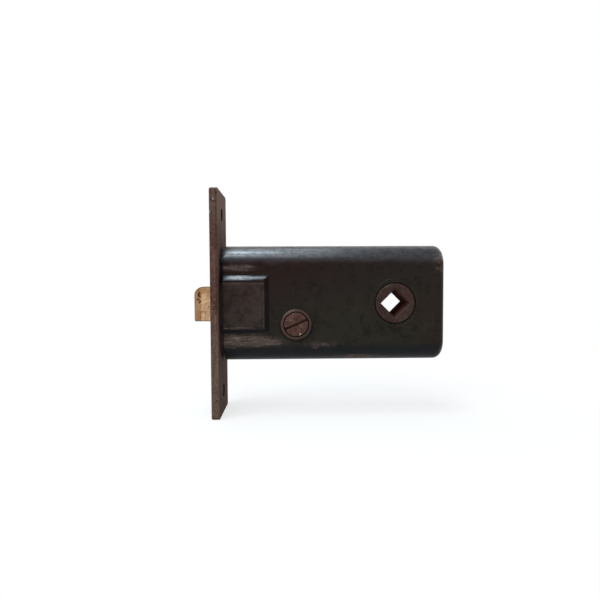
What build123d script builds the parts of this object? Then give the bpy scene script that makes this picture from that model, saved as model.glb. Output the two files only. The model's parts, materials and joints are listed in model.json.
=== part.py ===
"""Mortice latch: a cast-iron case in two halves behind a flat forend, with a sprung brass bolt.

Frame: the origin is the centre of the forend's seating face (the face that lies on the door edge),
+X runs into the door along the case, +Y is the door's thickness and +Z is up.
The face with the case screw looks along -Y. All sizes are millimetres.
"""

from build123d import *
import os
from math import cos, isclose, pi, radians, sin, sqrt, tan

# Forend
forend_width = 22.2
forend_thickness = 2.75
forend_corner_radius = 0.9
forend_edge_chamfer = 0.35
wood_screw_spacing = 63.5
wood_screw_margin = 7.95
wood_screw_hole = 4.4
wood_screw_countersink = 8.6
countersink_angle = 82

# Case, two half shells that meet on the plane Y = 0
case_thickness = 14.3
case_wall = 2.3
end_edge_radius = 3.0
forend_groove = 1.3

# Raised pad over the bolt's pocket, on both faces
pad_border = 3.65
pad_end_wall = 1.0
pad_rise = 1.55
pad_slope = 1.75
pad_edge_radius = 0.5

# Low round pad about the follower, on both faces
hub_pad_border = 1.4
hub_pad_rise = 0.2

# Brass bolt
bolt_height = 12.2
bolt_thickness = 10.4
bolt_projection = 6.6
bolt_nose_width = 2.6
bolt_nose_radius = 1.0
bolt_top_radius = 3.4
bolt_bottom_radius = 0.8
head_inside = 0.8
shank_length = 6.2
shank_height = 10.0
slide_clearance = 0.25
throat_length = 3.25

# Tail rod and its nut
rod_diameter = 3.6
rod_seat_depth = 5.4
rod_clearance = 0.2
rod_tip_length = 0.6
rod_tip_clearance = 0.8
nut_size = 7.0
nut_length = 2.8

# Follower
backset = 64.0
spindle_square = 7.14
spindle_chamfer = 0.35
journal_diameter = 13.95
journal_clearance = 0.3
journal_rise = 0.3
journal_chamfer = 0.4
flange_diameter = 16.0
flange_clearance = 0.2
horn_base_radius = 9.0
horn_half_width = 3.4
horn_thickness = 4.8
horn_points = 6

# Yoke
yoke_thickness = 5.0
yoke_bar_length = 4.5
yoke_arm_width = 3.0
yoke_arm_clearance = 1.4
yoke_hook_length = 2.6
yoke_eye_wall = 1.6
yoke_corner_radius = 0.8
running_gap = 0.15
horn_tip_clearance = 0.35
hook_clearance = 0.3
stop_lug_length = 2.6
stop_lug_height = 4.6

# Springs
bolt_spring_wire = 0.8
bolt_spring_turns = 8
yoke_spring_wire = 0.6
yoke_spring_diameter = 5.0
yoke_spring_turns = 3
yoke_spring_room = 2.8
spring_gap = 0.12
spigot_length = 1.5
wire_sides = 5
coil_steps = 10

# Case screw and its pillar
screw_head_diameter = 8.7
screw_head_height = 2.0
screw_head_chamfer = 0.35
screw_slot_width = 1.0
screw_slot_depth = 0.9
screw_slot_angle = 22.7
screw_diameter = 4.8
screw_clearance = 0.15
screw_tip_space = 0.6
screw_ring_width = 0.85
screw_ring_rise = 0.75
screw_seat_depth = 1.35
pillar_wall = 1.6
pillar_gap_to_spring = 0.4
pillar_gap_to_yoke = 0.7

# Small countersunk screws that hold the forend, one in each half
fixing_diameter = 2.8
fixing_head_diameter = 5.4
fixing_head_depth = 1.3
fixing_length = 8.5
fixing_tip_space = 0.5
fixing_slot_width = 0.7
fixing_slot_depth = 0.6
fixing_slot_angle = 35
fixing_clearance = 0.1

# Pegs that line the halves up
peg_diameter = 3.0
peg_length = 2.4
peg_root = 0.5
peg_clearance = 0.15
peg_gap = 2.1

# Forend and the case's section, which is as high as the horns and the yoke's arms need
forend_length = wood_screw_spacing + 2 * wood_screw_margin
forend_front = -forend_thickness
half_thickness = case_thickness / 2
inner_half_thickness = half_thickness - case_wall
bolt_travel = bolt_projection
follower_turn = bolt_travel / horn_base_radius
horn_tip_radius = sqrt(horn_base_radius**2 + (horn_half_width + bolt_travel) ** 2)
arm_inner_z = horn_tip_radius + horn_tip_clearance
arm_outer_z = arm_inner_z + yoke_arm_width
case_height = 2 * (arm_outer_z + yoke_arm_clearance + case_wall)

# The bolt's pocket and pad
bolt_tip = forend_front - bolt_projection
shank_end = head_inside + shank_length
shank_thickness = 2 * (inner_half_thickness - slide_clearance)
pocket_half_y = bolt_thickness / 2 + slide_clearance
pocket_half_z = bolt_height / 2 + slide_clearance
pocket_end = head_inside + 2 * bolt_travel + slide_clearance
pad_length = pocket_end + pad_end_wall + pad_slope
pad_height = 2 * (pocket_half_z + pad_border)
cavity_start = pocket_end + throat_length

# Places along the case, counted back from the follower and on to the case's end
follower_x = backset - forend_thickness
rod_end = follower_x - flange_diameter / 2 - rod_tip_clearance - 2 * bolt_travel
nut_end = rod_end - rod_tip_length
nut_start = nut_end - nut_length
yoke_bar_end = nut_start - running_gap
yoke_bar_start = yoke_bar_end - yoke_bar_length
hook_front = follower_x + horn_half_width + running_gap
hook_back = hook_front + yoke_hook_length
hook_inner_z = flange_diameter / 2 + hook_clearance
inner_end = hook_back + bolt_travel + yoke_spring_room
case_length = inner_end + case_wall

# Springs, case screw, fixings and pegs
bolt_spring_diameter = rod_diameter + 2 * rod_clearance + 2 * bolt_spring_wire
yoke_spring_z = (hook_inner_z + arm_outer_z) / 2
pillar_diameter = screw_diameter + 2 * pillar_wall
screw_x = yoke_bar_start - pillar_gap_to_yoke - pillar_diameter / 2
screw_z = -(bolt_spring_diameter + pillar_diameter) / 2 - pillar_gap_to_spring
screw_seat_y = screw_seat_depth - half_thickness
screw_tip_y = inner_half_thickness - screw_tip_space
fixing_y = half_thickness / 2
fixing_z = (pocket_half_z + case_height / 2) / 2
peg_x = fixing_length + fixing_tip_space + peg_gap + peg_diameter / 2


def span_box(x0, x1, half_y, half_z):
    """A box from x0 to x1, centred on the X axis."""
    return Pos((x0 + x1) / 2, 0, 0) * Box(x1 - x0, 2 * half_y, 2 * half_z)


def along_x(diameter, x0, x1, y=0.0, z=0.0):
    """A round bar along X from x0 to x1."""
    return Pos((x0 + x1) / 2, y, z) * Rot(0, 90, 0) * Cylinder(diameter / 2, x1 - x0)


def along_y(diameter, y0, y1, x, z):
    """A round bar along Y from y0 to y1."""
    return Pos(x, (y0 + y1) / 2, z) * Rot(90, 0, 0) * Cylinder(diameter / 2, y1 - y0)


def cone_at_front(head, neck, depth, y, z):
    """A cone from the forend's front face, wide end outwards."""
    return Pos(forend_front + depth / 2, y, z) * Rot(0, 90, 0) * Cone(head / 2, neck / 2, depth)


def side_prism(sketch, half_depth):
    """A sketch in X and Z carried half_depth each way along Y."""
    return extrude(Plane.XZ.offset(-half_depth) * sketch, amount=2 * half_depth)


def case_bar(inset, x0, x1):
    """A full-round bar from x0 to x1, of the case's section taken in by inset."""
    section = SlotOverall(case_height - 2 * inset, case_thickness - 2 * inset, rotation=90)
    return extrude(Plane.YZ.offset(x0) * section, amount=x1 - x0)


def pocket_pad(side):
    """The raised pad over the bolt's pocket, a low frustum with one upright end. side is -1 or 1 along Y."""
    top_end = pad_length - pad_slope
    base = Pos((forend_groove + pad_length) / 2, 0) * Rectangle(pad_length - forend_groove, pad_height)
    top = Pos((forend_groove + top_end) / 2, 0) * Rectangle(
        top_end - forend_groove, pad_height - 2 * pad_slope
    )
    low = Plane.XZ.offset(-side * half_thickness) * base
    high = Plane.XZ.offset(-side * (half_thickness + pad_rise)) * top
    form = loft([low, high])
    top_face = form.faces().sort_by(Axis((0, 0, 0), (0, side, 0)))[-1]
    return fillet(top_face.edges().sort_by(Axis.X)[1:], pad_edge_radius)


def neck():
    """The smaller end that meets the forend, which leaves a groove between the forend and the case."""
    pad_neck_y = half_thickness + pad_rise - forend_groove
    pad_neck_z = pad_height / 2 - pad_slope - forend_groove / 2
    return case_bar(forend_groove, 0, forend_groove) + span_box(0, forend_groove, pad_neck_y, pad_neck_z)


def case_whole():
    """Both halves as one casting: a bar rounded over at its far end, with pads, pocket, pillar and lugs."""
    bar = case_bar(0, forend_groove, case_length)
    shell = fillet(bar.faces().sort_by(Axis.X)[-1].edges(), end_edge_radius)
    hub_pad_half = half_thickness + hub_pad_rise
    journal_hole = journal_diameter + 2 * journal_clearance
    hub_pad = along_y(
        journal_hole + 2 * hub_pad_border, -hub_pad_half, hub_pad_half, follower_x, 0
    )
    case = shell + neck() + pocket_pad(-1) + pocket_pad(1) + hub_pad
    case -= span_box(0, pocket_end, pocket_half_y, pocket_half_z)
    case -= span_box(
        pocket_end, cavity_start, inner_half_thickness, shank_height / 2 + slide_clearance
    )
    cavity = case_bar(case_wall, cavity_start, inner_end)
    case -= cavity
    case += along_y(pillar_diameter, -inner_half_thickness, inner_half_thickness, screw_x, screw_z)
    stop_x = yoke_bar_start - running_gap - stop_lug_length / 2
    spigot_diameter = yoke_spring_diameter - 2 * yoke_spring_wire - 2 * spring_gap
    for sign in (-1, 1):
        stop_z = sign * (arm_outer_z - stop_lug_height / 2)
        stop = Pos(stop_x, 0, stop_z) * Box(stop_lug_length, case_thickness, stop_lug_height)
        case += stop & cavity
        case += along_x(
            spigot_diameter, inner_end - spigot_length, inner_end + case_wall / 2, z=sign * yoke_spring_z
        )
    return case - along_y(journal_hole, -hub_pad_half, hub_pad_half, follower_x, 0)


def fixing_hole(sign):
    """The tapped hole for one forend fixing screw. sign picks the body half (1) or the cover half (-1)."""
    diameter = fixing_diameter + 2 * fixing_clearance
    return along_x(diameter, 0, fixing_length + fixing_tip_space, sign * fixing_y, sign * fixing_z)


def case_body(whole):
    """The half away from the case screw's head, with the screw's tapped pillar and the locating pegs."""
    half = split(whole, bisect_by=Plane.XZ, keep=Keep.BOTTOM)
    half -= along_y(screw_diameter + 2 * screw_clearance, 0, inner_half_thickness, screw_x, screw_z)
    for sign in (-1, 1):
        half += along_y(peg_diameter, -peg_length, peg_root, peg_x, sign * fixing_z)
    return half - fixing_hole(1)


def case_cover(whole):
    """The half that shows the screw: a raised ring and counterbore round its head, and the peg sockets."""
    half = split(whole, bisect_by=Plane.XZ, keep=Keep.TOP)
    head_hole = screw_head_diameter + 2 * screw_clearance
    ring_top = -half_thickness - screw_ring_rise
    half += along_y(
        head_hole + 2 * screw_ring_width, ring_top, -inner_half_thickness, screw_x, screw_z
    )
    half -= along_y(head_hole, ring_top, screw_seat_y, screw_x, screw_z)
    half -= along_y(screw_diameter + 2 * screw_clearance, screw_seat_y, 0, screw_x, screw_z)
    socket = peg_diameter + 2 * peg_clearance
    for sign in (-1, 1):
        half -= along_y(socket, -peg_length - peg_clearance, 0, peg_x, sign * fixing_z)
    return half - fixing_hole(-1)


def countersunk_hole(through, head, depth, y, z):
    """A hole through the forend with its cone opening at the front face."""
    return cone_at_front(head, through, depth, y, z) + along_x(through, forend_front, 0, y, z)


def forend():
    """The flat front plate with the bolt's opening, two wood-screw holes and two fixing holes."""
    outline = RectangleRounded(forend_width, forend_length, forend_corner_radius)
    plate = extrude(Plane.YZ.offset(forend_front) * outline, amount=forend_thickness)
    plate = chamfer(plate.faces().sort_by(Axis.X)[0].edges(), forend_edge_chamfer)
    opening = RectangleRounded(2 * pocket_half_y, 2 * pocket_half_z, slide_clearance)
    plate -= extrude(Plane.YZ.offset(forend_front) * opening, amount=forend_thickness)
    cone_depth = (wood_screw_countersink - wood_screw_hole) / 2 / tan(radians(countersink_angle / 2))
    fixing_hole_diameter = fixing_diameter + 2 * fixing_clearance
    fixing_countersink = fixing_head_diameter + 2 * fixing_clearance
    for sign in (-1, 1):
        plate -= countersunk_hole(
            wood_screw_hole, wood_screw_countersink, cone_depth, 0, sign * wood_screw_spacing / 2
        )
        plate -= countersunk_hole(
            fixing_hole_diameter, fixing_countersink, fixing_head_depth, sign * fixing_y, sign * fixing_z
        )
    return plate


def forend_screw(sign):
    """One small countersunk fixing screw, its slot across the head."""
    y = sign * fixing_y
    z = sign * fixing_z
    head = cone_at_front(fixing_head_diameter, fixing_diameter, fixing_head_depth, y, z)
    slot = Pos(forend_front, y, z) * Rot(sign * fixing_slot_angle, 0, 0) * Box(
        2 * fixing_slot_depth, fixing_slot_width, 2 * fixing_head_diameter
    )
    return head + along_x(fixing_diameter, forend_front, fixing_length, y, z) - slot


def case_screw():
    """The slotted cheese-head screw that draws the halves together."""
    head_top = screw_seat_y - screw_head_height
    head = along_y(screw_head_diameter, head_top, screw_seat_y, screw_x, screw_z)
    head = chamfer(head.faces().sort_by(Axis.Y)[0].edges(), screw_head_chamfer)
    slot = Pos(screw_x, head_top, screw_z) * Rot(0, -screw_slot_angle, 0) * Box(
        2 * screw_head_diameter, 2 * screw_slot_depth, screw_slot_width
    )
    return head + along_y(screw_diameter, screw_seat_y, screw_tip_y, screw_x, screw_z) - slot


def bolt_head():
    """The brass bolt: a nose bevelled on the far side, rounded at its top, on a smaller shank."""
    near = -bolt_thickness / 2
    far = bolt_thickness / 2
    plan = Polygon(
        (head_inside, near),
        (bolt_tip, near),
        (bolt_tip, near + bolt_nose_width),
        (forend_front + slide_clearance, far),
        (head_inside, far),
        align=None,
    )
    plan = fillet(plan.vertices().group_by(Axis.X)[0], bolt_nose_radius)
    side = Pos((bolt_tip + head_inside) / 2, 0) * Rectangle(head_inside - bolt_tip, bolt_height)
    side = fillet(side.vertices().group_by(Axis.X)[0].sort_by(Axis.Y)[-1], bolt_top_radius)
    side = fillet(side.vertices().group_by(Axis.X)[0].sort_by(Axis.Y)[0], bolt_bottom_radius)
    head = extrude(plan, amount=bolt_height, both=True) & side_prism(side, bolt_thickness)
    shank = span_box(head_inside, shank_end, shank_thickness / 2, shank_height / 2)
    rod_hole = along_x(rod_diameter + rod_clearance / 2, shank_end - rod_seat_depth, shank_end)
    return head + shank - rod_hole


def tail_rod():
    """The iron rod from the bolt's shank through the yoke's bar."""
    rod = along_x(rod_diameter, shank_end - rod_seat_depth, rod_end)
    return chamfer(rod.faces().sort_by(Axis.X)[-1].edges(), rod_tip_length / 2)


def tail_nut():
    """The square nut behind the yoke's bar, by which the yoke draws the bolt in."""
    nut = span_box(nut_start, nut_end, nut_size / 2, nut_size / 2)
    return nut - along_x(rod_diameter + rod_clearance / 2, nut_start, nut_end)


def yoke():
    """A flat stirrup: a bar with an eye for the rod, two arms past the follower, a hook behind each horn."""
    outline = Pos((yoke_bar_start + yoke_bar_end) / 2, 0) * Rectangle(yoke_bar_length, 2 * arm_outer_z)
    arm_length = hook_back - yoke_bar_start
    hook_height = arm_outer_z - hook_inner_z
    for sign in (-1, 1):
        arm_z = sign * (arm_inner_z + arm_outer_z) / 2
        outline += Pos(yoke_bar_start + arm_length / 2, arm_z) * Rectangle(arm_length, yoke_arm_width)
        hook_z = sign * (hook_inner_z + arm_outer_z) / 2
        outline += Pos((hook_front + hook_back) / 2, hook_z) * Rectangle(yoke_hook_length, hook_height)
    working_corners = [
        v for v in outline.vertices() if isclose(v.X, hook_front) and isclose(abs(v.Y), hook_inner_z)
    ]
    corners = [v for v in outline.vertices() if v not in working_corners]
    plate = side_prism(fillet(corners, yoke_corner_radius), yoke_thickness / 2)
    bore = rod_diameter + 2 * rod_clearance
    eye = along_x(bore + 2 * yoke_eye_wall, yoke_bar_start, yoke_bar_end)
    return plate + eye - along_x(bore, yoke_bar_start, yoke_bar_end)


def horn_flank(side, end):
    """Points of a horn's flank, the involute of the base circle, so the hook moves in step with the turn.

    A flat hook face at x touches the flank at height horn_base_radius once the follower has turned by
    (x - horn_half_width) / horn_base_radius, and turning that point back gives its place on the horn.
    side is the flank's side along X and end is 1 for the upper horn and -1 for the lower one.
    """
    points = []
    for step in range(horn_points):
        turn = follower_turn * step / (horn_points - 1)
        reach = horn_half_width + horn_base_radius * turn
        x = reach * cos(turn) - horn_base_radius * sin(turn)
        z = reach * sin(turn) + horn_base_radius * cos(turn)
        points.append((side * x, end * z))
    return points


def horn(end):
    """One horn of the follower as a flat sketch, from the hub's middle to its tip."""
    right = horn_flank(1, end)
    left = horn_flank(-1, end)
    edges = Spline(right) + Line(right[-1], left[-1]) + Spline(left)
    edges += Polyline(left[0], (left[0][0], 0), (right[0][0], 0), right[0])
    return make_face(edges)


def follower():
    """The iron hub: two journals, a flange between the walls, two horns and the square spindle hole."""
    journal_half = half_thickness + hub_pad_rise + journal_rise
    hub = along_y(journal_diameter, -journal_half, journal_half, 0, 0)
    for face in (0, -1):
        hub = chamfer(hub.faces().sort_by(Axis.Y)[face].edges(), journal_chamfer)
    flange_half = inner_half_thickness - flange_clearance
    hub += along_y(flange_diameter, -flange_half, flange_half, 0, 0)
    for end in (-1, 1):
        hub += side_prism(horn(end), horn_thickness / 2)
    square = Rot(0, 0, 45) * Rectangle(spindle_square, spindle_square)
    hub -= side_prism(square, journal_half)
    for face in (0, -1):
        rim = hub.faces().sort_by(Axis.Y)[face].inner_wires()[0]
        hub = chamfer(rim.edges(), spindle_chamfer)
    return Pos(follower_x, 0, 0) * hub


def coil(x0, x1, diameter, wire, turns, z=0.0):
    """An open coil spring along X between two faces, wound in short straight lengths of a many-sided wire."""
    start = x0 + spring_gap + wire / 2
    length = x1 - spring_gap - wire / 2 - start
    radius = (diameter - wire) / 2
    steps = round(turns * coil_steps)
    points = []
    for step in range(steps + 1):
        angle = 2 * pi * step / coil_steps
        points.append((start + length * step / steps, radius * sin(angle), z + radius * cos(angle)))
    path = Polyline(*points)
    section = Plane(origin=path @ 0, z_dir=path % 0) * RegularPolygon(wire / 2, wire_sides)
    return sweep(section, path=path, transition=Transition.RIGHT)


def bolt_spring():
    """The light spring round the tail rod, between the bolt's shank and the yoke's bar."""
    return coil(shank_end, yoke_bar_start, bolt_spring_diameter, bolt_spring_wire, bolt_spring_turns)


def yoke_spring(sign):
    """One of the two stiff springs between the yoke's hooks and the end of the case."""
    z = sign * yoke_spring_z
    return coil(hook_back, inner_end, yoke_spring_diameter, yoke_spring_wire, yoke_spring_turns, z)


def main():
    """Write each piece to a file of its own."""
    whole = case_whole()
    parts = {
        "case_body": case_body(whole),
        "case_cover": case_cover(whole),
        "case_screw": case_screw(),
        "forend": forend(),
        "forend_screws": Compound(children=[forend_screw(1), forend_screw(-1)]),
        "bolt_head": bolt_head(),
        "tail_rod": tail_rod(),
        "tail_nut": tail_nut(),
        "bolt_spring": bolt_spring(),
        "yoke": yoke(),
        "yoke_spring_upper": yoke_spring(1),
        "yoke_spring_lower": yoke_spring(-1),
        "follower": follower(),
    }
    os.makedirs("parts", exist_ok=True)
    for name, shape in parts.items():
        export_step(shape, f"parts/{name}.step")


main()
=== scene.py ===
"""Looks of the mortice latch: worn black japan, brown iron, aged brass, coil springs and a pale studio.

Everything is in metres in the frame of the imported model: X into the door, Y through it, Z up.
Patterns read Object coordinates in millimetres, so a stain or a scratch stays where it lies on a piece.
"""

import json
import math

import bpy
import numpy as np
from bpy.props import FloatProperty, FloatVectorProperty, IntProperty, PointerProperty
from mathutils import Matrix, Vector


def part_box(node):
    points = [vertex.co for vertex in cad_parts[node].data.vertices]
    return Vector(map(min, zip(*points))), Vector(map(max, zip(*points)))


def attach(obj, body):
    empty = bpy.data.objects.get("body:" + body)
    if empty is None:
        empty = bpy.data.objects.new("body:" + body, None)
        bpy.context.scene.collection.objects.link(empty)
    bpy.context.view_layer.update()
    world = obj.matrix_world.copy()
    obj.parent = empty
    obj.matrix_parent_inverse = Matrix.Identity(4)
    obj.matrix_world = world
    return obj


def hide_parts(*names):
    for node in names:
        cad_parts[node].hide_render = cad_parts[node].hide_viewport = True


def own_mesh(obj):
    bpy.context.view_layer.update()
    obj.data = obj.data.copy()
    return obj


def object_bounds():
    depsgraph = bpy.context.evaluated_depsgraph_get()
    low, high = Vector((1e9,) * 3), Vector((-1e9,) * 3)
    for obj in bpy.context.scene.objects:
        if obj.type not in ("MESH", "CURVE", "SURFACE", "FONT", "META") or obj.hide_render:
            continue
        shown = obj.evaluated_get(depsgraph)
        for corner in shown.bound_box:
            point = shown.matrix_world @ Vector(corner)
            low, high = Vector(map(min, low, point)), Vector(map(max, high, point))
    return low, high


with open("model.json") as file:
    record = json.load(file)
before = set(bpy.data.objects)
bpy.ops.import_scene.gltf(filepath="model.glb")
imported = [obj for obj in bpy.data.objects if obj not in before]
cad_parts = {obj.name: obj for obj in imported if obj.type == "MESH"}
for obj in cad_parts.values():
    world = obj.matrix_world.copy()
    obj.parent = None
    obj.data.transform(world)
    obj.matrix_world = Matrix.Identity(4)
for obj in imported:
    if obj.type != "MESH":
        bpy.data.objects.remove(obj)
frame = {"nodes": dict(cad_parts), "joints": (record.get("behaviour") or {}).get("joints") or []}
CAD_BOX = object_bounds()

bl_info = {
    "name": "Mortice latch",
    "version": (1, 0, 0),
    "blender": (4, 5, 0),
    "location": "3D View > Sidebar > Latch",
    "description": "Finishes, springs and studio of a mortice latch",
    "category": "Object",
}

MM = 0.001
NODES = frame["nodes"]
CAD_MIDDLE = (CAD_BOX[0] + CAD_BOX[1]) / 2


def middle_of(node):
    """The x and z of the middle of a CAD node's box, in millimetres."""
    low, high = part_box(node)
    return (low.x + high.x) / 2 / MM, (low.z + high.z) / 2 / MM


# Places from the CAD, in millimetres
SCREW_X, SCREW_Z = middle_of("case_screw")
FOLLOWER_X, FOLLOWER_Z = middle_of("follower")
FOLLOWER_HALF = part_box("follower")[1].y / MM
CASE_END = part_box("case_cover")[1].x / MM
FOREND_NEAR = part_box("forend")[0].y / MM
BOLT_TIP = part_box("bolt_head")[0].x / MM
BOLT_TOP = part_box("bolt_head")[1].z / MM

# Half the case's thickness between its flat faces
CASE_HALF = 7.15

# Joint between the case halves: half the width of its line, and of the line's darkest part
SEAM_HALF = 0.24
SEAM_CORE = 0.08

# Worn patches of the case: middle x and z, half length, half height, and how far the japan has gone
WORN_PATCHES = (
    (9.0, -12.9, 15.0, 3.2, 0.95),
    (1.5, -12.6, 5.0, 3.4, 0.55),
    (18.0, -13.6, 6.0, 2.0, 0.37),
    (35.5, -14.3, 8.5, 1.8, 0.70),
    (48.5, -19.0, 16.0, 1.5, 0.65),
    (6.0, 12.6, 9.0, 1.7, 0.85),
    (7.0, -8.4, 9.0, 0.9, 0.9),
)

# Rubbed corners at the case's far end: z, radius, softness and how pale
RUBBED_CORNERS = ((14.5, 1.2, 4.5, 1.0), (-16.0, 0.6, 2.5, 0.5))

# Pad over the bolt's pocket, on the case's face: where its flat top ends, and the slope round it
PAD_TOP_END = 15.25
PAD_TOP_HALF = 8.25
PAD_SLOPE = 1.75

# Ring round the case screw: its radius, and the radius of the painted shadow at its foot
RING_RADIUS = 5.4
RING_FOOT = 5.8

# Spindle hole of the follower: from its middle to its corners, and how far inside its ends rust starts
SPINDLE_REACH = 5.0
SPINDLE_LIP = 0.25

# Wood-screw holes of the forend: how far above and below the bolt, and the radius
SCREW_HOLE_Z = 31.75
SCREW_HOLE_RADIUS = 2.2

# Pits, bright nicks and a painted glint: x, z and radius. Those of the forend lie on its near edge
FOREND_PITS = (
    (-1.9, 35.4, 0.40),
    (-1.2, 35.0, 0.40),
    (-1.6, -1.5, 0.30),
    (-1.3, 0.5, 0.30),
    (-0.7, -33.0, 0.40),
    (-0.2, 37.8, 0.40),
)
# The first of the forend's is a painted glint beside a pit, the second a pale nick
FOREND_NICKS_AND_GLINT = ((-1.4, 35.7, 0.35), (-2.6, 31.4, 0.45))
SCREW_NICKS = ((SCREW_X + 1.4, SCREW_Z - 3.4, 0.42),)

# Share of a mark's radius within which it is full
PIT_CORE = 0.5
NICK_CORE = 0.3

# Brown spots of the bolt: distance in from its tip, z and radius
BOLT_SPOTS = (
    (1.85, 3.7, 0.60),
    (1.75, 3.0, 0.55),
    (2.15, 2.5, 0.40),
    (1.50, 1.5, 0.60),
    (2.30, 0.9, 0.50),
    (1.95, 0.3, 0.45),
    (5.10, -1.0, 0.40),
)

# Pitch of a spring's closed turns, in thicknesses of its wire
CLOSED_PITCH = 1.02

# Sockets of a Mix node that is set to colours
MIX_FACTOR = 0
MIX_FIRST = 6
MIX_SECOND = 7
MIX_RESULT = 2

# Where an edge begins and is full, in lost cosine, and where an inner corner does, in open share
EDGE_RANGE = (0.01, 0.16)
CORNER_RANGE = (0.85, 0.35)

# Lamps: place, width and depth, in metres. The side lamp faces the latch and the others face down
WINDOW_LAMP = ((-0.050, -0.06, 0.50), 0.08, 0.14)
PANE_LAMP = ((-0.066, -0.24, 0.50), 0.05, 0.12)
SKY_LAMP = ((-0.04, -0.10, 0.52), 0.26, 0.72)
SIDE_LAMP = ((-0.45, -0.40, 0.35), 0.35, 0.35)
WHITE = (1.0, 1.0, 1.0)

# Share of the shadow's reach within which the floor's shade shows most
SHADOW_CORE = 0.4

# Camera: width of its sensor in millimetres, and the nearest and furthest that it sees, in metres
SENSOR_WIDTH = 36.0
CLIP_START = 0.005
CLIP_END = 50.0


def colour(name, description, default):
    """A colour property, in linear values."""
    return FloatVectorProperty(
        name=name, description=description, subtype="COLOR", size=3, min=0.0, max=1.0, default=default
    )


def number(name, description, default, unit="NONE"):
    """A number property, with a unit where one fits."""
    return FloatProperty(name=name, description=description, default=default, unit=unit)


def share(name, description, default):
    """A property from 0 to 1."""
    return FloatProperty(
        name=name, description=description, subtype="FACTOR", min=0.0, max=1.0, default=default
    )


class CaseColours(bpy.types.PropertyGroup):
    """Colours of the japanned case halves."""

    black: colour("Japan black", "The japan where it is whole", (0.0142, 0.0102, 0.0084))
    warm: colour("Warm japan", "Thin japan with rust showing through", (0.0152, 0.0070, 0.0056))
    cool: colour("Cool japan", "Japan towards the lower end of the case", (0.0178, 0.0150, 0.0095))
    # Painted by the way a round faces: a painted bluish reflection on the upper round and painted shade
    # on the lower one.
    blue: colour("Blue-black japan", "Thick japan on the case's rounds", (0.0050, 0.0070, 0.0110))
    # Also lays the painted highlight lines along the pad's top, and some painted light by the forend.
    rust: colour("Worn iron", "Brown iron where the japan has gone", (0.088, 0.058, 0.047))
    # Also lays the painted highlight on the upper arc of the screw's ring.
    dust_and_highlight: colour("Dust", "Pale dust and scuffs in the worn places", (0.175, 0.140, 0.118))
    pink: colour("Rubbed corner", "Pale worn iron at the case's far corners", (0.135, 0.083, 0.070))
    ring: colour("Screw ring", "Brown iron of the ring round the screw", (0.078, 0.043, 0.033))
    # Also lays painted shade in inner corners, on the pad's slopes and at the foot of the screw's ring.
    grime_and_shade: colour("Grime", "Dirt in the corners and the seam", (0.0035, 0.0026, 0.0022))


class IronColours(bpy.types.PropertyGroup):
    """Colours of the bare brown ironwork."""

    brown: colour("Brown patina", "The main brown of the iron", (0.071, 0.029, 0.022))
    grey: colour("Grey patina", "Cooler iron between the brown patches", (0.098, 0.064, 0.046))
    bare: colour("Rubbed iron", "Pale iron on rubbed edges", (0.19, 0.125, 0.096))
    # Also lays the painted glint beside a pit on the forend's edge.
    nick_and_glint: colour("Nicks", "Bright iron in fresh nicks", (0.42, 0.36, 0.33))
    # Also lays painted shade in inner corners, on the forend's back beside the case and in its screw
    # holes.
    grime_and_shade: colour("Grime", "Dark dirt in corners and pits", (0.014, 0.006, 0.004))
    film: colour("Dark film", "Purplish film, thick on the follower", (0.014, 0.0095, 0.0096))
    rust: colour("Rust", "Red rust in the spindle hole", (0.084, 0.034, 0.028))


class BrassColours(bpy.types.PropertyGroup):
    """Colours of the brass bolt."""

    brass: colour("Brass", "The bolt's main colour", (0.35, 0.202, 0.090))
    pale: colour("Pale brass", "Rubbed brass on the faces", (0.59, 0.41, 0.236))
    pink: colour("Copper blush", "Pinkish patches where zinc has gone", (0.42, 0.235, 0.142))
    ochre: colour("Ochre", "Deeper brass in the stained band", (0.22, 0.095, 0.022))
    # Also lays dirt and painted shade in the bolt's inner corners.
    stain_and_shade: colour("Stain", "Brown spots near the nose", (0.075, 0.020, 0.003))
    edge: colour("Edges", "Greenish grey on the bolt's edges", (0.13, 0.110, 0.068))


class WorksColours(bpy.types.PropertyGroup):
    """Colours of the pieces inside the case."""

    oiled: colour("Oiled iron", "The yoke's casting", (0.060, 0.052, 0.047))
    steel: colour("Drawn steel", "Rod, nut and springs", (0.26, 0.25, 0.24))
    oil: colour("Old oil", "Brown oil on the steel", (0.040, 0.028, 0.018))


class SpringSizes(bpy.types.PropertyGroup):
    """Sizes of the coil springs."""

    bolt_turns: number("Bolt spring turns", "Open turns of the light spring", 8.0)
    yoke_turns: number("Yoke spring turns", "Open turns of each stiff spring", 1.6)
    end_turns: number("Closed turns", "Closed turns at each end", 0.9)
    bolt_wire: number("Bolt spring wire", "Wire thickness", 0.8 * MM, unit="LENGTH")
    yoke_wire: number("Yoke spring wire", "Wire thickness", 0.6 * MM, unit="LENGTH")
    sides: IntProperty(name="Wire sides", description="Faces round the wire", default=12)
    steps: IntProperty(name="Steps", description="Faces along each turn", default=36)


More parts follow.
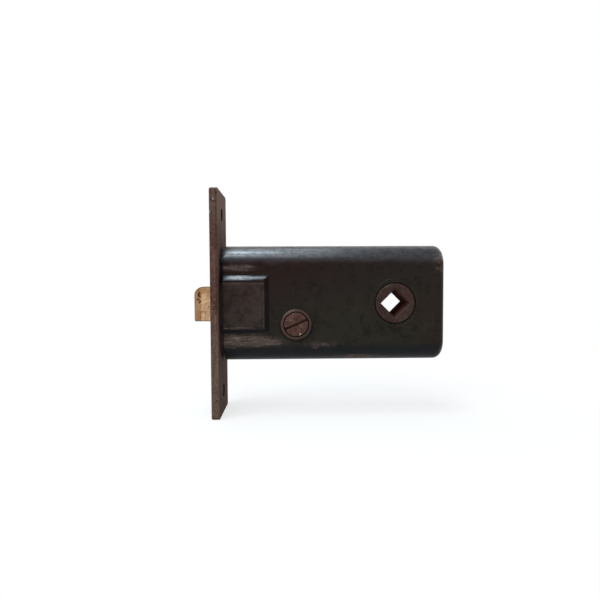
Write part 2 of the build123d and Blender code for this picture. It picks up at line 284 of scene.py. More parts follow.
class StageSettings(bpy.types.PropertyGroup):
    """Camera, floor and lamps."""

    camera_place: FloatVectorProperty(
        name="Camera", description="Where the camera stands", subtype="TRANSLATION",
        default=(24.226 * MM, -171.341 * MM, 8.362 * MM),
    )
    camera_turn: FloatVectorProperty(
        name="Camera turn", description="The camera's rotation", subtype="EULER",
        default=(math.radians(87.5397), math.radians(0.2785), math.radians(-1.2927)),
    )
    lens: number("Lens", "Focal length", 28.263, unit="CAMERA")
    floor: colour("Floor", "The pale floor", (0.80, 0.80, 0.80))
    floor_size: number("Floor size", "Edge of the floor", 6.0, unit="LENGTH")
    shadow_reach: number("Shadow reach", "How far out the floor's shade shows", 0.11, unit="LENGTH")
    floor_shadow: share("Shadow", "How much of the floor's shade shows", 0.30)
    fill: number("Fill", "Strength of the light from all round", 0.50)
    sky: colour("Sky colour", "Colour of the lamps above", (0.77, 0.90, 1.0))
    window_power: number("Window", "Power of the bright lamp above", 0.82, unit="POWER")
    pane_power: number("Pane", "Power of the small lamp above and in front", 0.38, unit="POWER")
    sky_power: number("Sky", "Power of the wide lamp above", 2.1, unit="POWER")
    side_power: number("Side", "Power of the lamp at the upper left", 1.6, unit="POWER")


class LatchSettings(bpy.types.PropertyGroup):
    """All that a user would change."""

    case: PointerProperty(name="Case", description="Colours of the case halves", type=CaseColours)
    iron: PointerProperty(name="Ironwork", description="Colours of the bare iron", type=IronColours)
    brass: PointerProperty(name="Bolt", description="Colours of the brass bolt", type=BrassColours)
    works: PointerProperty(name="Works", description="Colours inside the case", type=WorksColours)
    springs: PointerProperty(name="Springs", description="Sizes of the coil springs", type=SpringSizes)
    stage: PointerProperty(name="Stage", description="Camera, floor and lamps", type=StageSettings)


def settings():
    """The scene's own copy of the settings."""
    return bpy.context.scene.latch


class Value:
    """A shader value that takes part in Python sums. Each operator adds one Math node."""

    def __init__(self, finish, socket):
        self.finish = finish
        self.socket = socket

    def _math(self, operation, first, second=0.0):
        return self.finish.node("ShaderNodeMath", {"operation": operation}, {0: first, 1: second})

    def __add__(self, other):
        return self._math("ADD", self, other)

    def __radd__(self, other):
        return self._math("ADD", other, self)

    def __sub__(self, other):
        return self._math("SUBTRACT", self, other)

    def __rsub__(self, other):
        return self._math("SUBTRACT", other, self)

    def __mul__(self, other):
        return self._math("MULTIPLY", self, other)

    def __rmul__(self, other):
        return self._math("MULTIPLY", other, self)

    def __abs__(self):
        return self._math("ABSOLUTE", self)

    def most(self, other):
        """The larger of the two values."""
        return self._math("MAXIMUM", self, other)

    def hypot(self, other):
        """The length of the two values taken as the sides of a right angle."""
        return self._math("SQRT", self * self + other * other)


class Shading:
    """A node tree being made."""

    def __init__(self, tree):
        self.tree = tree
        self.tree.nodes.clear()

    def node(self, kind, options=None, values=None, out=0):
        """Adds a node, sets its options first and then its sockets, and gives one of its outputs."""
        node = self.tree.nodes.new(kind)
        for key, option in (options or {}).items():
            setattr(node, key, option)
        for key, value in (values or {}).items():
            if isinstance(value, Value):
                self.tree.links.new(value.socket, node.inputs[key])
            else:
                node.inputs[key].default_value = value
        return Value(self, node.outputs[out]) if node.outputs else None

    def blend(self, factor, first, second):
        """A colour between two colours."""
        first = first if isinstance(first, Value) else (*first, 1.0)
        second = second if isinstance(second, Value) else (*second, 1.0)
        return self.node(
            "ShaderNodeMix",
            {"data_type": "RGBA"},
            {MIX_FACTOR: factor, MIX_FIRST: first, MIX_SECOND: second},
            out=MIX_RESULT,
        )

    def paint(self, body, *coats):
        """A colour with coats laid over it in turn, each given as its share, 0 to 1, and its colour."""
        for factor, coat in coats:
            body = self.blend(factor, body, coat)
        return body

    def ease(self, value, low, high):
        """0 below low, 1 above high and a smooth step between. With low above high it falls instead."""
        return self.node(
            "ShaderNodeMapRange",
            {"interpolation_type": "SMOOTHSTEP"},
            {"Value": value, "From Min": low, "From Max": high},
        )


class Finish(Shading):
    """A material being made: its place in millimetres and the patterns that it needs."""

    def __init__(self, name):
        self.material = bpy.data.materials.new(name)
        self.material.use_nodes = True
        super().__init__(self.material.node_tree)
        place = self.node("ShaderNodeTexCoord", out="Object")
        self.place = self.vector("SCALE", {0: place, "Scale": 1 / MM})
        self.x = self.node("ShaderNodeSeparateXYZ", values={0: self.place}, out="X")
        self.y = self.node("ShaderNodeSeparateXYZ", values={0: self.place}, out="Y")
        self.z = self.node("ShaderNodeSeparateXYZ", values={0: self.place}, out="Z")
        self.normal = self.node("ShaderNodeNewGeometry", out="Normal")
        self.up = self.node("ShaderNodeSeparateXYZ", values={0: self.normal}, out="Z")

    def vector(self, operation, values, out=0):
        """A Vector Math node."""
        return self.node("ShaderNodeVectorMath", {"operation": operation}, values, out)

    def noise(self, per_mm, detail, rough, stretch=(1.0, 1.0, 1.0), seed=0.0):
        """Cloudy noise with per_mm waves in a millimetre, drawn out where stretch is small."""
        place = self.vector("MULTIPLY", {0: self.place, 1: stretch})
        place = self.vector("ADD", {0: place, 1: (seed, -seed, 2 * seed)})
        return self.node(
            "ShaderNodeTexNoise",
            values={"Vector": place, "Scale": per_mm, "Detail": detail, "Roughness": rough},
        )

    def pits(self, per_mm, width, seed):
        """1 at the middle of scattered small pits and 0 a share width of their spacing away."""
        place = self.vector("ADD", {0: self.place, 1: (seed, seed, seed)})
        cells = {"Vector": place, "Scale": per_mm}
        gap = self.node("ShaderNodeTexVoronoi", values=cells, out="Distance")
        return self.ease(gap, width, 0.0)

    def rounded(self, radius, samples):
        """The normal rounded over radius millimetres."""
        return self.node("ShaderNodeBevel", {"samples": samples}, {"Radius": radius * MM})

    def edges(self, radius):
        """1 on edges and 0 on flats: how far the normal rounded over radius leaves the true one."""
        rounded = self.rounded(radius, samples=6)
        same = self.vector("DOT_PRODUCT", {0: rounded, 1: self.normal}, out="Value")
        return self.ease(1 - same, *EDGE_RANGE)

    def corners(self, reach):
        """1 in inner corners and grooves and 0 in the open, looking reach millimetres about."""
        look = {"Distance": reach * MM}
        open_share = self.node("ShaderNodeAmbientOcclusion", {"samples": 8}, look, out="AO")
        return self.ease(open_share, *CORNER_RANGE)

    def spot(self, x, z, radius, soft):
        """1 within radius of a point of the side view and 0 beyond radius plus soft, in millimetres."""
        return self.ease((self.x - x).hypot(self.z - z), radius + soft, radius)

    def marks(self, places, core):
        """1 in round marks, each given as x, z and radius. They fade from a share core of the radius."""
        return sum(self.spot(x, z, core * radius, (1 - core) * radius) for x, z, radius in places)

    def bump(self, height, depth, round_edges):
        """A normal from a height of 0 to 1 that stands depth millimetres, on edges rounded a little."""
        normal = self.rounded(round_edges, samples=4)
        return self.node(
            "ShaderNodeBump",
            values={"Height": height, "Distance": depth * MM, "Strength": 1.0, "Normal": normal},
        )

    def surface(self, values, matt=None, matt_colour=None):
        """The material: a Principled shader with these values, and dull matt_colour where matt is 1."""
        shader = self.node("ShaderNodeBsdfPrincipled", values=values)
        if matt is not None:
            dirt_and_shade = self.node("ShaderNodeBsdfDiffuse", values={"Color": (*matt_colour, 1.0)})
            shader = self.node("ShaderNodeMixShader", values={0: matt, 1: shader, 2: dirt_and_shade})
        self.node("ShaderNodeOutputMaterial", values={"Surface": shader})
        return self.material


def worn_weight(f, blotch):
    """How far the case's japan has gone, about 0 to 1: oval patches that fade outwards, made uneven."""
    patches = 0.0
    for x, z, half_length, half_height, gone in WORN_PATCHES:
        away = ((f.x - x) * (1 / half_length)).hypot((f.z - z) * (1 / half_height))
        patches = patches + gone * f.ease(away, 1.3, 0.1)
    return patches + 1.2 * (blotch - 0.5)


def screw_ring(f):
    """The ring round the case screw: its place, its share of brown, lighter towards the upper left as
    painted light, a painted highlight on its upper arc and a painted shadow below its foot.
    """
    aside = f.x - SCREW_X
    above = f.z - SCREW_Z
    ring = f.ease(f.y, -CASE_HALF - 0.1, -CASE_HALF - 0.35) * f.spot(SCREW_X, SCREW_Z, RING_RADIUS, 0.5)
    # The ring's own brown, made lighter towards the upper left as painted light
    brown = 0.64 + 0.025 * above - 0.028 * aside
    # Painted highlight on the ring's upper left arc
    highlight_arc = ring * f.ease(0.87 * above - 0.5 * aside, 4.0, 5.3)
    near_face = f.ease(f.y, -CASE_HALF + 0.4, -CASE_HALF + 0.1) * (1 - ring)
    # Painted shadow round the ring's foot, strongest below it
    shadow_foot = near_face * f.ease(abs(aside.hypot(above) - RING_FOOT), 0.6, 0.2) * f.ease(above, 2.5, -2.0)
    return ring, brown, highlight_arc, shadow_foot


def pad_marks(f, patch):
    """The raised pad, each 0 to 1: painted highlight lines along the edges of its top, painted shade
    bands on its slopes, and its flat.
    """
    raised = f.ease(abs(f.y), CASE_HALF + 0.1, CASE_HALF + 0.4)
    outside = f.ease(abs(f.y), CASE_HALF - 0.4, CASE_HALF - 0.1)

    # Painted highlight lines along the top and end edges of the pad's flat top
    top_highlight = f.ease(abs(f.z - PAD_TOP_HALF + 1.1), 0.45, 0.1)
    top_highlight = top_highlight * f.ease(f.x, PAD_TOP_END + 0.2, PAD_TOP_END - 0.2)
    end_highlight = f.ease(abs(f.x - PAD_TOP_END), 0.4, 0.1)
    end_highlight = end_highlight * f.ease(abs(f.z + 0.6), PAD_TOP_HALF, PAD_TOP_HALF - 0.6)
    lines = raised * (top_highlight + end_highlight) * f.ease(patch, 0.36, 0.58)

    # Painted shade bands on the pad's end, lower and upper slopes
    end_shade = f.ease(abs(f.x - PAD_TOP_END - 0.65 * PAD_SLOPE), 1.0, 0.45)
    end_shade = end_shade * f.ease(abs(f.z), PAD_TOP_HALF + 1.6, PAD_TOP_HALF + 0.8)
    low_shade = f.ease(abs(f.z + PAD_TOP_HALF + 0.6 * PAD_SLOPE), 0.9, 0.4)
    low_shade = low_shade * f.ease(f.x, PAD_TOP_END + 1.4, PAD_TOP_END)
    top_shade = raised * f.ease(abs(f.z - PAD_TOP_HALF + 0.4), 0.45, 0.2)
    top_shade = top_shade * f.ease(f.x, PAD_TOP_END, PAD_TOP_END - 0.6)
    shade_bands = outside * (end_shade + 0.7 * low_shade + 0.6 * top_shade)

    flat = raised * f.ease(f.x, PAD_TOP_END, PAD_TOP_END - 1)
    flat = flat * f.ease(abs(f.z), PAD_TOP_HALF, PAD_TOP_HALF - 1)
    return lines, shade_bands, flat


def pad_slope_rubbed(f, streak):
    """How far the gloss of the pad's upper slope has gone: most at its margins and towards its end."""
    from_middle = abs(f.z - PAD_TOP_HALF - PAD_SLOPE / 2)
    slope = f.ease(from_middle, 1.4, 1.1) * f.ease(f.x, PAD_TOP_END + 2.2, PAD_TOP_END + 1.2)
    faded = 0.35 * f.ease(streak, 0.42, 0.60) + 0.30 * f.ease(f.x, 7, PAD_TOP_END)
    return slope * (0.20 + faded + 0.5 * f.ease(from_middle, 0.25, 0.75))


def japan_finish(colours):
    """Black japan on a casting: warm and thin at the ends, cool below, worn and scratched in patches."""
    f = Finish("worn_japan")
    cloud = f.noise(0.09, detail=5, rough=0.6)
    blotch = f.noise(0.30, detail=6, rough=0.66, seed=21)
    cast = f.noise(0.4, detail=4, rough=0.55, seed=5)
    grain = f.noise(1.1, detail=3, rough=0.6, seed=7)
    fine = f.noise(3.2, detail=2, rough=0.5, seed=3)
    patch = f.noise(0.55, detail=7, rough=0.74, stretch=(0.45, 1, 1), seed=11)
    streak = f.noise(1.3, detail=4, rough=0.62, stretch=(0.10, 1, 1), seed=19)
    scratch = f.noise(2.2, detail=3, rough=0.6, stretch=(0.06, 1, 1), seed=23)
    dull = f.noise(0.8, detail=3, rough=0.6, stretch=(0.7, 1, 1), seed=29)

    # Whole japan
    warm = f.ease(f.z - 0.30 * f.x + 16 * (cloud - 0.5) + 12 * (blotch - 0.5), -12, 10)
    cool = f.ease(0.3 * f.x - f.z + 18 * (cloud - 0.5) + 12 * (blotch - 0.5), 2, 22)
    far_end = f.ease(f.x, 66, 71)
    dark = f.ease(blotch + 0.4 * (grain - 0.5), 0.52, 0.34)
    # Painted bluish reflection on upward-facing rounds and painted shade on downward-facing ones.
    rounds_reflection_and_shade = 0.85 * f.ease(f.up, 0.10, 0.45) + 0.65 * f.ease(f.up, -0.05, -0.35)

    # Wear
    weight = worn_weight(f, blotch)
    stained = f.ease(weight + 1.3 * (patch - 0.5) + 2.2 * (streak - 0.5), 0.50, 1.05)
    scratched = f.ease(scratch, 0.56, 0.70) * f.ease(weight, 0.25, 0.75)
    chipped = f.ease(patch + 0.5 * (streak - 0.5), 0.66, 0.80) * f.ease(abs(f.z), 4, 15)
    dusty = f.ease(grain + 0.5 * fine, 0.72, 0.98)
    edge = f.edges(0.5) * f.ease(patch + 0.5 * grain, 0.62, 0.95)
    corner = sum(pale * f.spot(CASE_END, z, radius, soft) for z, radius, soft, pale in RUBBED_CORNERS)
    corner = corner * f.ease(patch + 0.3 * (grain - 0.5), 0.40, 0.62)
    # Rust by the forend, laid on partly as painted light that lifts the shade of the joint
    by_forend = f.ease(f.x, 1.5, 0.2) * f.ease(f.z, 9, 3)

    # Ring, pad, seam and dirt, with their painted highlights and painted shade
    ring, ring_brown_and_light, ring_highlight, ring_shadow = screw_ring(f)
    pad_highlight_lines, pad_shade_bands, pad_flat = pad_marks(f, patch)
    pad_brown = 0.05 + 0.15 * f.ease(blotch, 0.36, 0.60) + 0.09 * f.ease(f.x, 4, PAD_TOP_END)
    seam = f.ease(abs(f.y), SEAM_HALF, SEAM_CORE)
    # Dirt and painted shade in inner corners and grooves.
    dirt_and_shade = f.corners(1.6) * (1 - ring)

    body = f.paint(
        colours.black,
        (warm, colours.warm),
        (0.85 * cool, colours.cool),
        (0.40 * cool * far_end, colours.warm),
        (0.5 * dark, colours.grime_and_shade),
        (rounds_reflection_and_shade, colours.blue),
        (pad_flat * pad_brown, colours.rust),
        (0.30 * f.ease(weight, 0.1, 1.0) + 0.45 * stained + 0.35 * chipped, colours.rust),
        (0.75 * scratched + 0.4 * stained * dusty, colours.dust_and_highlight),
        (0.45 * edge + 0.55 * pad_highlight_lines, colours.rust),
        (ring * ring_brown_and_light, colours.ring),
        (0.45 * ring_highlight, colours.dust_and_highlight),
        (0.8 * corner, colours.pink),
        (0.5 * by_forend, colours.rust),
        (0.3 * dirt_and_shade + 0.37 * pad_shade_bands + seam + 0.5 * ring_shadow, colours.grime_and_shade),
    )

    # Gloss on what faces up, with dull flecks in it, and the casting's relief
    gloss = f.ease(f.up + 0.15 * (dull - 0.5) + 0.4 * (cloud - 0.5), 0.03, 0.36)
    gloss = 0.74 * gloss * (1 - 0.7 * stained) * (1 - pad_slope_rubbed(f, streak)).most(0.0)
    flecks = f.ease(f.up, 0.1, 0.4) * f.ease(dull + 0.3 * (blotch - 0.5), 0.44, 0.66)
    relief = 0.5 * grain + 0.22 * fine + 0.9 * cast
    relief = relief - 0.25 * stained - 0.1 * chipped - 0.15 * scratched - 2.0 * seam
    return f.surface(
        {
            "Base Color": body,
            "Roughness": 0.25 + 0.16 * grain + 0.12 * blotch + 0.3 * stained + 0.2 * ring + 0.15 * edge,
            "Specular IOR Level": 0.08,
            "Coat Weight": gloss,
            "Coat Roughness": 0.24,
            "Normal": f.bump(relief, 0.085, 0.4),
        },
        0.30 * pad_shade_bands + 0.10 * dirt_and_shade + 0.30 * flecks + seam,
        colours.grime_and_shade,
    )


def iron_patina(f, colours, grey_share):
    """The clouded brown of old iron, and two of its maps: its patches and its rubbed edges."""
    cloud = f.noise(0.13, detail=5, rough=0.62, stretch=(1, 1, 0.5), seed=2)
    patch = f.noise(0.8, detail=5, rough=0.68, seed=9)
    edge = f.edges(0.45)
    body = f.paint(
        colours.brown,
        (grey_share, colours.grey),
        (0.30 * f.ease(cloud, 0.52, 0.68), colours.bare),
        (0.40 * f.ease(patch, 0.50, 0.66), colours.bare),
        (0.50 * f.ease(patch, 0.47, 0.33), colours.grime_and_shade),
        (0.65 * edge * f.ease(patch, 0.3, 0.6), colours.bare),
    )
    return body, patch, edge


def forend_finish(colours):
    """The forend's brown iron: drawn lines, dark margins, painted shade on its back and in its screw
    holes, pits, nicks and a painted glint on its edge.
    """
    f = Finish("brown_iron")
    cloud = f.noise(0.10, detail=4, rough=0.6, stretch=(1, 1, 0.6), seed=31)
    drawn = f.noise(2.2, detail=3, rough=0.6, stretch=(1, 1, 0.05), seed=6)
    grain = f.noise(4.0, detail=3, rough=0.55, seed=4)
    lower = f.ease(f.z + 30 * (cloud - 0.5), 2, -18)
    upper = f.ease(f.z + 20 * (cloud - 0.5), 22, 34)
    body, patch, edge = iron_patina(f, colours, 0.1 + 0.85 * lower + 0.5 * upper)

    back = f.ease(f.x, -0.12, -0.02)
    low_back = back * f.ease(f.z, -4, -16)
    # Painted shade on the forend's back where the case stands beside it
    case_shade = f.ease(abs(f.z + 10) + 8 * (cloud - 0.5), 36, 22)
    front_margin = f.ease(f.x, -1.7, -2.7)
    back_margin = f.ease(f.x, -0.95, -0.45) * (1 - back) * f.ease(f.z, -14, 0)
    near_edge = f.ease(f.y, FOREND_NEAR + 0.4, FOREND_NEAR + 0.2)
    pits = f.pits(0.55, 0.18, seed=3) * f.ease(patch, 0.48, 0.60)
    pits = pits + near_edge * f.marks(FOREND_PITS, PIT_CORE)
    # Pale nicks on the near edge, one of them a painted glint beside a pit
    nicks = near_edge * f.marks(FOREND_NICKS_AND_GLINT, NICK_CORE)
    # Painted shade in the wood-screw holes, dark and dull
    from_hole = f.y.hypot(abs(f.z) - SCREW_HOLE_Z)
    hole_shade = f.ease(from_hole, SCREW_HOLE_RADIUS + 0.2, SCREW_HOLE_RADIUS + 0.05)
    # Dirt and painted shade in inner corners and grooves.
    dirt_and_shade = f.corners(2.2)
    body = f.paint(
        body,
        (0.25 * f.ease(drawn, 0.52, 0.70), colours.bare),
        (0.25 * f.ease(drawn, 0.46, 0.30), colours.grime_and_shade),
        (0.15 * front_margin + 0.40 * back_margin, colours.grime_and_shade),
        # The back: painted shade beside the case with grime in patches, darker towards the bottom and
        # paler towards the top
        (back * (0.15 * case_shade + 0.25 * f.ease(patch, 0.54, 0.40)), colours.grime_and_shade),
        (0.35 * low_back, colours.brown),
        (0.22 * low_back, colours.grime_and_shade),
        (back * (0.12 + 0.12 * f.ease(f.z, 8, 20) + 0.55 * upper), colours.bare),
        (0.40 * dirt_and_shade + hole_shade, colours.grime_and_shade),
        (0.9 * pits, colours.grime_and_shade),
        (0.8 * nicks, colours.nick_and_glint),
    )
    return f.surface(
        {
            "Base Color": body,
            "Metallic": 0.4 + 0.2 * edge,
            "Roughness": 0.48 + 0.2 * patch - 0.12 * edge + 0.35 * back,
            "Specular IOR Level": 0.1,
            "Normal": f.bump(0.45 * patch + 0.25 * grain + 0.15 * drawn - 0.9 * pits, 0.08, 0.25),
        },
        0.1 * dirt_and_shade + 0.9 * hole_shade,
        colours.grime_and_shade,
    )


def hub_finish(name, colours, film_share, hole_half=None, nicks=()):
    """Scratched brown iron under a dark film, for the case screw and the follower.

    The nicks are bright marks, each given as x, z and radius. With hole_half given, the spindle hole is
    dull with rust up to that far from the case's mid-plane, in millimetres.
    """
    f = Finish(name)
    body, patch, edge = iron_patina(f, colours, 0.15)
    grain = f.noise(3.0, detail=4, rough=0.6, seed=4)
    scratch = f.ease(f.noise(3.2, detail=3, rough=0.6, stretch=(0.3, 1, 0.08), seed=27), 0.58, 0.70)
    # Dirt and painted shade in inner corners and grooves.
    dirt_and_shade = f.corners(1.4)
    body = f.paint(
        body,
        (0.35 * scratch, colours.bare),
        (film_share, colours.film),
        (0.5 * dirt_and_shade, colours.grime_and_shade),
    )
    if nicks:
        body = f.blend(0.8 * f.marks(nicks, NICK_CORE), body, colours.nick_and_glint)
    matt = 0.3 * dirt_and_shade
    matt_colour = colours.grime_and_shade
    if hole_half is not None:
        matt = f.spot(FOLLOWER_X, FOLLOWER_Z, SPINDLE_REACH, 0.4)
        matt = matt * f.ease(abs(f.y), hole_half, hole_half - 0.3)
        matt_colour = colours.rust
    return f.surface(
        {
            "Base Color": body,
            "Metallic": 0.4 + 0.2 * edge,
            "Roughness": 0.42 + 0.25 * patch - 0.1 * edge,
            "Specular IOR Level": 0.1,
            "Normal": f.bump(0.4 * patch + 0.35 * grain - 0.2 * scratch, 0.07, 0.3),
        },
        matt,
        matt_colour,
    )


def brass_finish(colours):
    """Aged brass: copper blush, an ochre band with brown spots behind the nose, lines and grey edges."""
    f = Finish("aged_brass")
    cloud = f.noise(0.35, detail=4, rough=0.6, seed=8)
    patch = f.noise(1.4, detail=5, rough=0.68, seed=1)
    upright = f.noise(2.2, detail=3, rough=0.6, stretch=(1, 1, 0.10), seed=5)
    level = f.noise(2.4, detail=3, rough=0.6, stretch=(0.10, 1, 1), seed=12)
    inward = f.x - BOLT_TIP

    nose = f.ease(inward + 0.8 * (patch - 0.5), 1.4, 0.9)
    band = f.ease(abs(inward - 1.8 + 0.8 * (cloud - 0.5)), 1.0, 0.35)
    lines = f.ease(upright, 0.54, 0.66) * f.ease(f.z, -1.5, -3.5) + 0.6 * f.ease(level, 0.60, 0.70)
    behind = f.ease(inward, 2.0, 2.8)
    deep_line = behind * f.ease(abs(f.z + 2.75 + 0.5 * (level - 0.5)), 0.28, 0.08)
    pale_line = behind * f.ease(abs(f.z + 2.2), 0.28, 0.08)
    spots = f.pits(0.9, 0.2, seed=5) * f.ease(patch, 0.52, 0.60)
    for depth, z, radius in BOLT_SPOTS:
        away = (inward - depth + 0.9 * (patch - 0.5)).hypot(f.z - z + 0.9 * (upright - 0.5))
        spots = spots + f.ease(away, radius, 0.4 * radius)
    rim = f.ease(inward, 1.15, 0.75) + f.ease(abs(f.z), BOLT_TOP - 0.6, BOLT_TOP - 0.1)
    body = f.paint(
        colours.brass,
        (f.ease(cloud + 0.4 * level, 0.55, 0.80), colours.pale),
        (0.75 * f.ease(patch, 0.46, 0.60), colours.pink),
        (0.6 * nose, colours.pink),
        (band * (0.40 + 0.6 * f.ease(upright, 0.42, 0.60)), colours.ochre),
        (0.42 * lines, colours.ochre),
        (0.4 * deep_line, colours.ochre),
        (0.4 * pale_line, colours.pale),
        (0.9 * spots, colours.stain_and_shade),
        (0.52 * rim + 0.7 * f.edges(0.8), colours.edge),
        # Dirt and painted shade in the bolt's inner corners.
        (0.7 * f.corners(1.5), colours.stain_and_shade),
    )
    return f.surface(
        {
            "Base Color": body,
            "Metallic": 0.8,
            "Specular IOR Level": 0.1,
            "Roughness": 0.26 + 0.22 * patch + 0.3 * spots,
            "Normal": f.bump(0.3 * patch + 0.3 * level + 0.25 * upright - 0.4 * spots, 0.04, 0.3),
        }
    )


def oiled_iron_finish(colours):
    """The yoke's rough casting under old oil."""
    f = Finish("oiled_iron")
    cloud = f.noise(0.3, detail=4, rough=0.6, seed=13)
    grain = f.noise(2.4, detail=4, rough=0.6, seed=14)
    body = f.paint(
        colours.oiled,
        (0.7 * f.ease(cloud, 0.4, 0.65), colours.oil),
        (0.4 * f.edges(0.4), colours.steel),
    )
    return f.surface(
        {
            "Base Color": body,
            "Roughness": 0.35 + 0.3 * grain,
            "Normal": f.bump(0.6 * grain + 0.4 * cloud, 0.08, 0.3),
        }
    )


def drawn_steel_finish(colours):
    """Dull drawn steel with lines along its length and brown oil in patches."""
    f = Finish("drawn_steel")
    cloud = f.noise(0.5, detail=4, rough=0.6, seed=15)
    lines = f.noise(3.0, detail=3, rough=0.6, stretch=(0.08, 1, 1), seed=16)
    oil = f.ease(cloud, 0.5, 0.7)
    return f.surface(
        {
            "Base Color": f.blend(0.6 * oil, colours.steel, colours.oil),
            "Metallic": 1 - 0.5 * oil,
            "Roughness": 0.3 + 0.25 * lines,
            "Normal": f.bump(lines, 0.02, 0.15),
        }
    )


def dress(material, *names):
    """Gives CAD nodes a finish in place of the plain one that they came with."""
    for name in names:
        NODES[name].data.materials.clear()
        NODES[name].data.materials.append(material)


class LATCH_OT_case(bpy.types.Operator):
    """Finish the two case halves in worn black japan"""

    bl_idname = "latch.case"
    bl_label = "Japan the case"

    def execute(self, context):
        dress(japan_finish(settings().case), "case_body", "case_cover")
        return {"FINISHED"}


class LATCH_OT_ironwork(bpy.types.Operator):
    """Finish the forend, the screws and the follower in brown iron"""

    bl_idname = "latch.ironwork"
    bl_label = "Brown the ironwork"

    def execute(self, context):
        colours = settings().iron
        dress(forend_finish(colours), "forend", "forend_screws")
        screw_iron = hub_finish("red_iron", colours, film_share=0.10, nicks=SCREW_NICKS)
        dress(screw_iron, "case_screw")
        hole_half = FOLLOWER_HALF - SPINDLE_LIP
        follower_iron = hub_finish("dark_iron", colours, film_share=0.62, hole_half=hole_half)
        dress(follower_iron, "follower")
        return {"FINISHED"}


class LATCH_OT_bolt(bpy.types.Operator):
    """Finish the bolt in aged brass"""

    bl_idname = "latch.bolt"
    bl_label = "Age the bolt"

    def execute(self, context):
        dress(brass_finish(settings().brass), "bolt_head")
        return {"FINISHED"}


class LATCH_OT_works(bpy.types.Operator):
    """Finish the yoke, the rod and the nut inside the case"""

    bl_idname = "latch.works"
    bl_label = "Oil the works"

    def execute(self, context):
        dress(oiled_iron_finish(settings().works), "yoke")
        dress(drawn_steel_finish(settings().works), "tail_rod", "tail_nut")
        return {"FINISHED"}


def tube_mesh(name, rings):
    """A closed tube through rings of points, an array of (rings, sides, 3), with flat ends.

    Each wall face joins a point and the next one round its ring to the same two of the next ring.
    """
    count, sides, _ = rings.shape
    index = np.arange(count * sides).reshape(count, sides)
    after = np.roll(index, -1, axis=1)
    walls = np.stack([index[:-1], after[:-1], after[1:], index[1:]], axis=-1).reshape(-1, 4)
    ends = [index[0][::-1].tolist(), index[-1].tolist()]
    mesh = bpy.data.meshes.new(name)
    mesh.from_pydata(rings.reshape(-1, 3), [], [*walls.tolist(), *ends])
    mesh.polygons.foreach_set("use_smooth", np.ones(len(mesh.polygons), dtype=bool))
    mesh.update()
    return mesh


def spring_rings(start, end, z, radius, wire, open_turns, end_turns, sides, steps):
    """Rings of a coil spring's wire along X with closed ends.

    The wire's middle is (x, radius sin a, z + radius cos a) with a = 2 pi t over all turns t. The pitch
    is CLOSED_PITCH wires at each end and rises smoothly, from half of the closed turns to one and a half
    times as many, and x is the running sum of the pitch. Each ring is the circle of the wire across the
    middle line, on the outward normal and the vector square to it and the line.
    """
    turns = open_turns + 2 * end_turns
    t = np.linspace(0.0, turns, int(turns * steps) + 1)
    rise = np.clip(np.minimum(t, turns - t) / end_turns - 0.5, 0.0, 1.0)
    opened = rise * rise * (3 - 2 * rise)
    extra = np.concatenate([[0.0], np.cumsum((opened[1:] + opened[:-1]) / 2 * np.diff(t))])
    closed = wire * CLOSED_PITCH * t
    length = end - start - wire
    x = start + wire / 2 + closed + (length - closed[-1]) * extra / extra[-1]
    angle = 2 * math.pi * t
    outward = np.stack([np.zeros_like(t), np.sin(angle), np.cos(angle)], axis=-1)
    middle = radius * outward + np.stack([x, np.zeros_like(t), np.full_like(t, z)], axis=-1)
    along = np.gradient(middle, axis=0)
    along /= np.linalg.norm(along, axis=1, keepdims=True)
    across = np.cross(along, outward)
    around = np.linspace(0.0, 2 * math.pi, sides, endpoint=False)[None, :, None]
    ring = np.cos(around) * outward[:, None] + np.sin(around) * across[:, None]
    return middle[:, None] + wire / 2 * ring


def travel_of(joint):
    """How far a sliding joint goes, in metres."""
    return next(j for j in frame["joints"] if j["name"] == joint)["range_m"][1]


def add_spring(name, node, body, start, end, wire, turns, joint, material):
    """A coil spring from start to end, in place of a CAD coil."""
    sizes = settings().springs
    low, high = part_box(node)
    radius = (high.z - low.z) / 2 - wire / 2
    rings = spring_rings(
        start, end, (low.z + high.z) / 2, radius, wire, turns, sizes.end_turns, sizes.sides, sizes.steps
    )
    spring = bpy.data.objects.new(name, tube_mesh(name, rings))
    bpy.context.scene.collection.objects.link(spring)
    spring.data.materials.append(material)
    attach(spring, body)
    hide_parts(node)
    keep = 1 - travel_of(joint) / (end - start)
    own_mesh(spring)


class LATCH_OT_springs(bpy.types.Operator):
    """Wind the bolt's light spring and the yoke's two stiff springs"""

    bl_idname = "latch.springs"
    bl_label = "Wind the springs"

    def execute(self, context):
        sizes = settings().springs
        material = drawn_steel_finish(settings().works)
        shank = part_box("bolt_head")[1].x
        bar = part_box("yoke")[0].x
        add_spring(
            "bolt_coil", "bolt_spring", "yoke", shank, bar,
            sizes.bolt_wire, sizes.bolt_turns, "bolt_push", material,
        )
        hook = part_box("yoke")[1].x
        for name, node in (("upper_coil", "yoke_spring_upper"), ("lower_coil", "yoke_spring_lower")):
            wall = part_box(node)[1].x
            add_spring(
                name, node, "case", hook, wall,
                sizes.yoke_wire, sizes.yoke_turns, "yoke_slide", material,
            )
        return {"FINISHED"}


def make_world(stage):
    """An even white world: strength 1 where it is seen, looked through or mirrored, else a soft fill."""
    world = bpy.data.worlds.new("studio")
    world.use_nodes = True
    f = Shading(world.node_tree)
    seen = f.node("ShaderNodeLightPath", out="Is Camera Ray")
    through = f.node("ShaderNodeLightPath", out="Is Transmission Ray")
    gloss = f.node("ShaderNodeLightPath", out="Is Glossy Ray")
    shown = seen.most(through).most(gloss)
    strength = shown + (1 - shown) * stage.fill
    white = f.node("ShaderNodeBackground", values={"Color": (*WHITE, 1.0), "Strength": strength})
    f.node("ShaderNodeOutputWorld", values={"Surface": white})
    bpy.context.scene.world = world


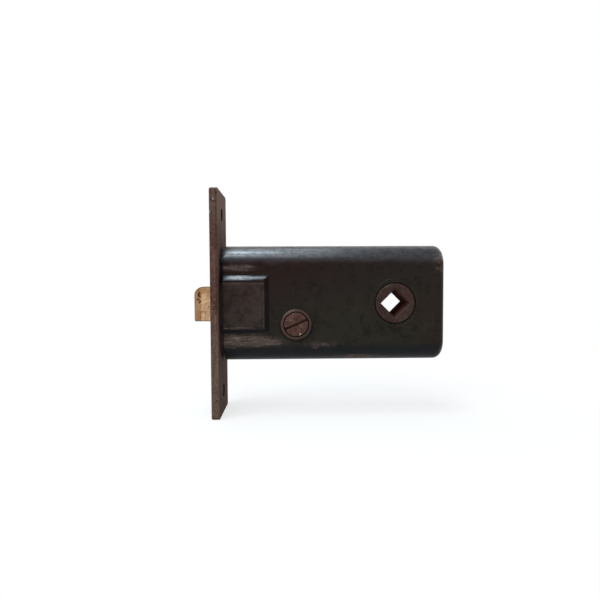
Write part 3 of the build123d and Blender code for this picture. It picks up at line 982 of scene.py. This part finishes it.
def make_floor(stage):
    """A wide pale floor. The camera and gloss see it white, with part of its shade near the latch."""
    half = stage.floor_size / 2
    level = CAD_BOX[0].z
    corners = [(-half, -half, level), (half, -half, level), (half, half, level), (-half, half, level)]
    mesh = bpy.data.meshes.new("floor")
    mesh.from_pydata(corners, [], [(0, 1, 2, 3)])
    floor = bpy.data.objects.new("floor", mesh)
    bpy.context.scene.collection.objects.link(floor)
    f = Finish("pale_floor")
    matt = f.node("ShaderNodeBsdfDiffuse", values={"Color": (*stage.floor, 1.0)})
    white = f.node("ShaderNodeEmission", values={"Strength": 1.0})
    seen = f.node("ShaderNodeLightPath", out="Is Camera Ray")
    gloss = f.node("ShaderNodeLightPath", out="Is Glossy Ray")
    away = (f.x - CAD_MIDDLE.x / MM).hypot(f.y - CAD_MIDDLE.y / MM)
    reach = stage.shadow_reach / MM
    shade = stage.floor_shadow * f.ease(away, reach, SHADOW_CORE * reach)
    both = f.node("ShaderNodeMixShader", values={0: seen.most(gloss) * (1 - shade), 1: matt, 2: white})
    f.node("ShaderNodeOutputMaterial", values={"Surface": both})
    mesh.materials.append(f.material)


def add_lamp(name, place, width, depth, power, tint, target=None):
    """A soft rectangular lamp. It faces straight down, or the target if one is given."""
    lamp = bpy.data.lights.new(name, "AREA")
    lamp.shape = "RECTANGLE"
    lamp.size = width
    lamp.size_y = depth
    lamp.energy = power
    lamp.color = tint
    holder = bpy.data.objects.new(name, lamp)
    bpy.context.scene.collection.objects.link(holder)
    holder.location = place
    if target is not None:
        holder.rotation_euler = (target - holder.location).to_track_quat("-Z", "Y").to_euler()


def make_camera(stage):
    """The camera that the view is taken from."""
    camera = bpy.data.cameras.new("camera")
    camera.sensor_width = SENSOR_WIDTH
    camera.lens = stage.lens
    camera.clip_start = CLIP_START
    camera.clip_end = CLIP_END
    holder = bpy.data.objects.new("camera", camera)
    holder.location = stage.camera_place
    holder.rotation_euler = stage.camera_turn
    bpy.context.scene.collection.objects.link(holder)
    bpy.context.scene.camera = holder


class LATCH_OT_stage(bpy.types.Operator):
    """Set up the floor, the light and the camera"""

    bl_idname = "latch.stage"
    bl_label = "Set the stage"

    def execute(self, context):
        stage = settings().stage
        make_world(stage)
        make_floor(stage)
        add_lamp("window", *WINDOW_LAMP, stage.window_power, stage.sky)
        add_lamp("pane", *PANE_LAMP, stage.pane_power, stage.sky)
        add_lamp("sky", *SKY_LAMP, stage.sky_power, stage.sky)
        add_lamp("side", *SIDE_LAMP, stage.side_power, WHITE, CAD_MIDDLE)
        make_camera(stage)
        bpy.context.scene.view_settings.view_transform = "Standard"
        return {"FINISHED"}


OPERATORS = (
    LATCH_OT_case,
    LATCH_OT_ironwork,
    LATCH_OT_bolt,
    LATCH_OT_works,
    LATCH_OT_springs,
    LATCH_OT_stage,
)


class LATCH_PT_panel(bpy.types.Panel):
    """Lists the latch's steps"""

    bl_label = "Mortice latch"
    bl_idname = "LATCH_PT_panel"
    bl_space_type = "VIEW_3D"
    bl_region_type = "UI"
    bl_category = "Latch"

    def draw(self, context):
        for operator in OPERATORS:
            self.layout.operator(operator.bl_idname)


CLASSES = (
    CaseColours,
    IronColours,
    BrassColours,
    WorksColours,
    SpringSizes,
    StageSettings,
    LatchSettings,
    *OPERATORS,
    LATCH_PT_panel,
)


def register():
    """Registers the classes and puts the settings on the scene."""
    for cls in CLASSES:
        bpy.utils.register_class(cls)
    bpy.types.Scene.latch = PointerProperty(
        name="Mortice latch", description="Colours, springs and stage of the latch", type=LatchSettings
    )


def unregister():
    """Undoes register."""
    del bpy.types.Scene.latch
    for cls in reversed(CLASSES):
        bpy.utils.unregister_class(cls)


def main():
    """Runs every step in order."""
    register()
    bpy.ops.latch.case()
    bpy.ops.latch.ironwork()
    bpy.ops.latch.bolt()
    bpy.ops.latch.works()
    bpy.ops.latch.springs()
    bpy.ops.latch.stage()


if __name__ == "__main__":
    main()
